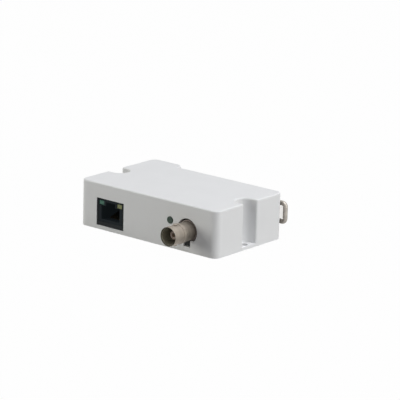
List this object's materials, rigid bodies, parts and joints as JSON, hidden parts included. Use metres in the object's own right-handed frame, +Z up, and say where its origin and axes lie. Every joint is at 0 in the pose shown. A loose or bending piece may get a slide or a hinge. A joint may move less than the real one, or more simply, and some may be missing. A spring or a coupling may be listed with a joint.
{
  "type": "ethernet over coax transmitter",
  "caption": "Small off-white moulded box that carries a network link over coaxial cable, with a network jack, a status light and a bayonet coaxial connector.",
  "frame": {"origin": "middle of the main case's underside, leaving out the step in the rear wall", "axes": "+X to the right along the front, +Y from front to rear, +Z up"},
  "size_m": [0.0899, 0.0712, 0.024],
  "materials": {
    "case": "fine textured off-white moulding",
    "screw_steel": "zinc plated",
    "board": "black solder resist",
    "jack_plastic": "black moulding",
    "contact_gold": "gold plated",
    "green_light": "unlit tinted lens",
    "yellow_light": "unlit tinted lens",
    "pipe_green": "dark green tinted lens",
    "nickel": "dull nickel plating",
    "base_black": "moulded connector body",
    "insulator": "moulded insulator",
    "chip_black": "moulded chip",
    "ferrite": "ferrite",
    "can_metal": "drawn can",
    "small_parts": "ceramic body",
    "loop_wire": "dull plated wire",
    "milky_plastic": "milky translucent moulding"
  },
  "bodies": {
    "root": {"top_cover": "case", "bottom_cover": "case", "cover_screws": "screw_steel", "circuit_board": "board", "board_screws": "screw_steel", "rj45_housing": "jack_plastic", "rj45_contacts": "contact_gold", "rj45_green_light": "green_light", "rj45_yellow_light": "yellow_light", "status_light_pipe": "pipe_green", "status_led": "small_parts", "bnc_shell": "nickel", "bnc_base": "base_black", "bnc_insulator": "insulator", "bnc_centre_contact": "contact_gold", "lan_transformer": "chip_black", "ethernet_chip": "chip_black", "modem_chip": "chip_black", "memory_chip": "chip_black", "crystal": "can_metal", "line_transformer": "ferrite", "surge_arrester": "small_parts", "power_chip": "chip_black", "power_inductors": "ferrite", "electrolytic_capacitors": "can_metal", "power_diodes": "chip_black", "chip_capacitors": "small_parts", "chip_resistors": "chip_black", "rear_loop": "loop_wire", "loop_insert": "milky_plastic"}
  },
  "joints": []
}
